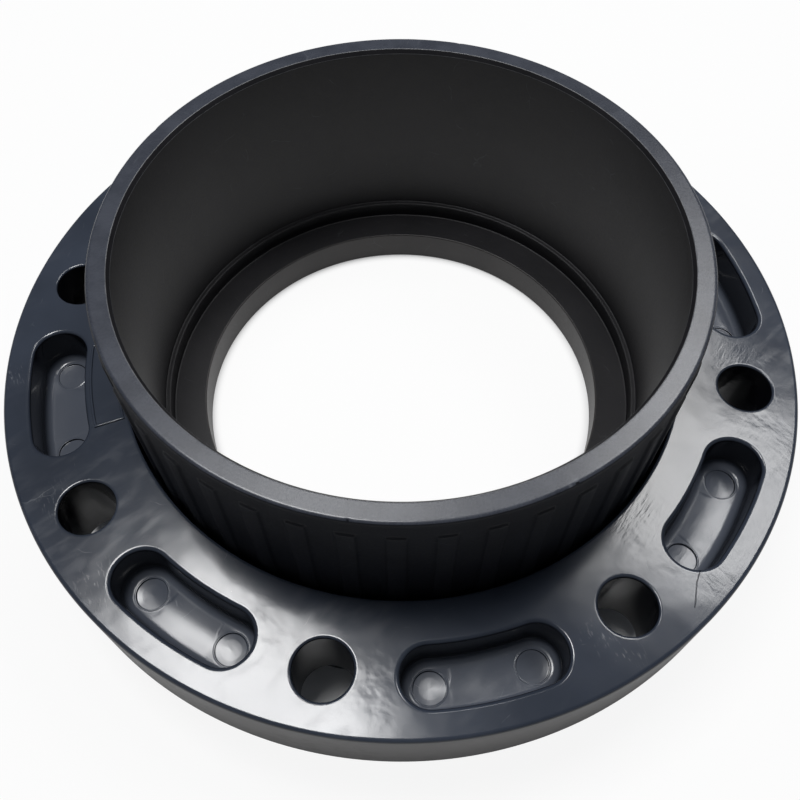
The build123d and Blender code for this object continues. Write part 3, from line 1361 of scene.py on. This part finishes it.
@dataclass
class RaisedFrame:
    """A thin raised line round a bare place on the ring's top, between the bore and one recess.

    Lengths are in millimetres and angles in degrees.
    """

    top: float
    body: str = "ring"
    slot: str = "ring_plastic"
    inner_r: float = 123.6
    outer_r: float = 135.0
    first_angle: float = -166.4
    last_angle: float = -148.7
    half_width: float = 0.55
    rise: float = 0.55
    sunk: float = 0.45
    edge_round: float = 0.35
    arc_steps: int = 48
    end_steps: int = 8
    finish: RingFinish = field(default_factory=RingFinish)

    @classmethod
    def from_frame(cls) -> RaisedFrame:
        """Takes the ring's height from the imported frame."""
        return cls(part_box("backing_ring")[1].z / MM)

    def centre_line(self) -> np.ndarray:
        """Lays out the closed line: along the outer arc, in at an end, back along the inner arc and out.

        Returns:
            The points, one row each.
        """
        first, last = math.radians(self.first_angle), math.radians(self.last_angle)
        arc = np.linspace(first, last, self.arc_steps + 1)
        radius = np.linspace(self.outer_r, self.inner_r, self.end_steps + 1)
        return np.concatenate([circle_points(self.outer_r, arc[:-1]), circle_points(radius[:-1], last),
                               circle_points(self.inner_r, arc[:0:-1]), circle_points(radius[:0:-1], first)])

    def build(self) -> bpy.types.Object:
        """Builds the frame.

        The section is carried along the line. At each point it lies across the mean of the ways in and out,
        and at a corner it is wider by one over the cosine of half the turn, so that the line keeps its width.

        Returns:
            The piece.
        """
        line = self.centre_line()
        way_in, way_out = unit(line - np.roll(line, 1, axis=0)), unit(np.roll(line, -1, axis=0) - line)
        mean = unit(way_in + way_out)
        across = np.stack([mean[:, 1], -mean[:, 0]], axis=-1) / (mean * way_out).sum(axis=-1, keepdims=True)
        low, high = self.top - self.sunk, self.top + self.rise
        half, edge = self.half_width, self.edge_round
        section = rounded_path([(-half, low, 0.0), (-half, high, edge), (half, high, edge), (half, low, 0.0)],
                               arc_steps=4)
        grid = carried(line, across, np.concatenate([section, section[:1]]))
        shell = Shell()
        shell.add(np.concatenate([grid, grid[:, :1]], axis=1))
        piece = shell.build("plain_raised_frame", lambda points: points)
        piece.data.materials.append(self.finish.build("raised_frame_plastic"))
        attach(piece, self.body)
        return piece


@dataclass(frozen=True)
class Lamp:
    """A flat soft lamp that faces the flange, in metres. Its heading is its width's way in degrees."""

    name: str
    place: tuple[float, float, float]
    size: Pair
    radiance: float
    heading: float = 0.0
    target: tuple[float, float, float] = (0.0, 0.0, 0.05)

    def build(self) -> None:
        """Adds the lamp, with the power that gives its radiance."""
        light = bpy.data.lights.new(self.name, "AREA")
        light.shape = "RECTANGLE"
        light.size, light.size_y = self.size
        light.energy = self.radiance * math.pi * self.size[0] * self.size[1]
        away = (Vector(self.place) - Vector(self.target)).normalized()
        heading = math.radians(self.heading)
        depth = away.cross(Vector((math.cos(heading), math.sin(heading), 0.0))).normalized()
        facing = Matrix((depth.cross(away), depth, away)).transposed().to_4x4()
        linked(self.name, light).matrix_world = Matrix.Translation(self.place) @ facing


@dataclass(frozen=True)
class Viewpoint:
    """The photograph's viewpoint: a look-at point in millimetres, a distance, and angles in degrees."""

    look: tuple[float, float, float] = (4.383, -25.325, 40.0)
    distance: float = 385.38
    azimuth: float = 10.695
    elevation: float = 58.476
    roll: float = 0.138
    focal_share: float = 873.907 / 800
    sensor_width: float = 36.0
    clip_start: float = 0.01

    def build(self) -> None:
        """Adds the camera.

        The camera looks back along a unit vector at the given azimuth and elevation, and its right and
        up vectors are turned about it by the roll.
        """
        high, around, roll = (math.radians(angle) for angle in (self.elevation, self.azimuth, self.roll))
        back = Vector((math.sin(around) * math.cos(high), -math.cos(around) * math.cos(high), math.sin(high)))
        right = Vector((0, 0, 1)).cross(back).normalized()
        up = back.cross(right)
        right, up = right * math.cos(roll) + up * math.sin(roll), up * math.cos(roll) - right * math.sin(roll)
        data = bpy.data.cameras.new("viewpoint")
        data.sensor_width = self.sensor_width
        data.lens = self.sensor_width * self.focal_share
        data.clip_start = self.clip_start
        camera = linked("viewpoint", data)
        place = (Vector(self.look) + back * self.distance) * MM
        camera.matrix_world = Matrix.Translation(place) @ Matrix((right, up, back)).transposed().to_4x4()
        bpy.context.scene.camera = camera


@dataclass
class Studio:
    """The pale floor, the soft lamps, the dim surroundings and the camera.

    The floor's size and height are in metres. Its reaches are distances from the pipe axis in millimetres,
    between which it turns white, or stops being white, to the camera and in the gloss.
    """

    floor_size: float = 6.0
    floor_height: float = -0.0002
    floor_tone: float = 0.82
    under_bore_reach: Pair = (88.0, 96.0)
    under_bore_white: float = 0.93
    under_bore_gleam: float = 0.93
    ring_reach: Pair = (153.0, 162.0)
    ring_white: float = 0.9
    beside_ring_reach: Pair = (172.0, 216.0)
    beside_ring_gleam: float = 0.1
    far_reach: Pair = (350.0, 2400.0)
    surround_low: float = 0.05
    surround_high: float = 0.15
    surround_rise: float = 0.6
    surround_tone: Colour = (0.86, 0.92, 1.0)
    lamps: tuple[Lamp, ...] = (
        Lamp("soft_lamp_left", (-0.266, 0.073, 1.25), (0.505, 0.248), 22.5, -29.5),
        Lamp("soft_lamp_back", (-0.15, 0.43, 1.25), (0.34, 0.12), 14.0),
        Lamp("soft_lamp_right", (0.48, 0.575, 1.25), (0.38, 0.36), 12.5),
        Lamp("soft_lamp_far_right", (0.37, 0.94, 1.25), (0.18, 0.22), 13.0),
    )

    def build(self) -> None:
        """Adds everything round the flange."""
        self.build_floor()
        self.build_world()
        for lamp in self.lamps:
            lamp.build()
        Viewpoint().build()
        bpy.context.scene.view_settings.view_transform = "Standard"
        LOG.info("set the studio with %d lamps", len(self.lamps))

    def build_floor(self) -> None:
        """Lays a flat pale floor that stays white to the camera but keeps a soft shadow."""
        half = self.floor_size / 2
        corners = [(x * half, y * half, self.floor_height) for x, y in ((-1, -1), (1, -1), (1, 1), (-1, 1))]
        mesh = bpy.data.meshes.new("studio_floor")
        mesh.from_pydata(corners, [], [(0, 1, 2, 3)])
        material = bpy.data.materials.new("pale_floor")
        material.use_nodes = True
        graph = Graph(material.node_tree)
        matte = graph.add("BsdfDiffuse", {"Color": (self.floor_tone,) * 3 + (1.0,)})
        white = graph.add("Emission", {"Color": (1, 1, 1, 1), "Strength": 1.0})
        rays = graph.add("LightPath").outputs
        radius = graph.group(Effect.PLACE).outputs["Radius"]
        under_bore = graph.ramp(radius, *self.under_bore_reach, self.under_bore_white, 0.0)
        beyond_ring = graph.ramp(radius, *self.ring_reach, 0.0, self.ring_white)
        far_off = graph.ramp(radius, *self.far_reach, 0.0, 1.0 - self.ring_white)
        beside_ring = graph.ramp(radius, *self.beside_ring_reach, self.beside_ring_gleam, self.ring_white)
        gleam = graph.plus(graph.times(under_bore, self.under_bore_gleam),
                           graph.math("MINIMUM", beyond_ring, beside_ring))
        seen = graph.highest(graph.times(rays["Is Camera Ray"], graph.plus(under_bore, beyond_ring, far_off)),
                             graph.times(rays["Is Glossy Ray"], gleam))
        mix = graph.add("MixShader", {0: seen, 1: matte.outputs[0], 2: white.outputs[0]})
        graph.add("OutputMaterial", {"Surface": mix.outputs[0]})
        mesh.materials.append(material)
        linked("studio_floor", mesh)

    def build_world(self) -> None:
        """Gives dim surroundings, darker towards the horizon, which the camera sees as white."""
        world = bpy.data.worlds.new("studio_surround")
        bpy.context.scene.world = world
        world.use_nodes = True
        graph = Graph(world.node_tree)
        by_camera = graph.add("LightPath").outputs["Is Camera Ray"]
        up = graph.add("SeparateXYZ", {0: graph.add("TexCoord").outputs["Object"]}).outputs[2]
        dim = graph.ramp(up, 0.0, self.surround_rise, self.surround_low, self.surround_high)
        tone = graph.blend(by_camera, self.surround_tone, (1.0, 1.0, 1.0))
        sky = graph.add("Background", {"Color": tone, "Strength": graph.highest(dim, by_camera)})
        graph.add("OutputWorld", {"Surface": sky.outputs[0]})


def main() -> None:
    """Loads the frame, dresses the flange and sets the studio."""
    logging.basicConfig(level=logging.INFO, format="%(name)s: %(message)s")
    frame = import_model()
    GroupMaker().build_all()
    SocketHub.from_frame(frame).build()
    BackingRing.from_frame(frame).build()
    RaisedFrame.from_frame().build()
    Studio().build()


if __name__ == "__main__":
    main()
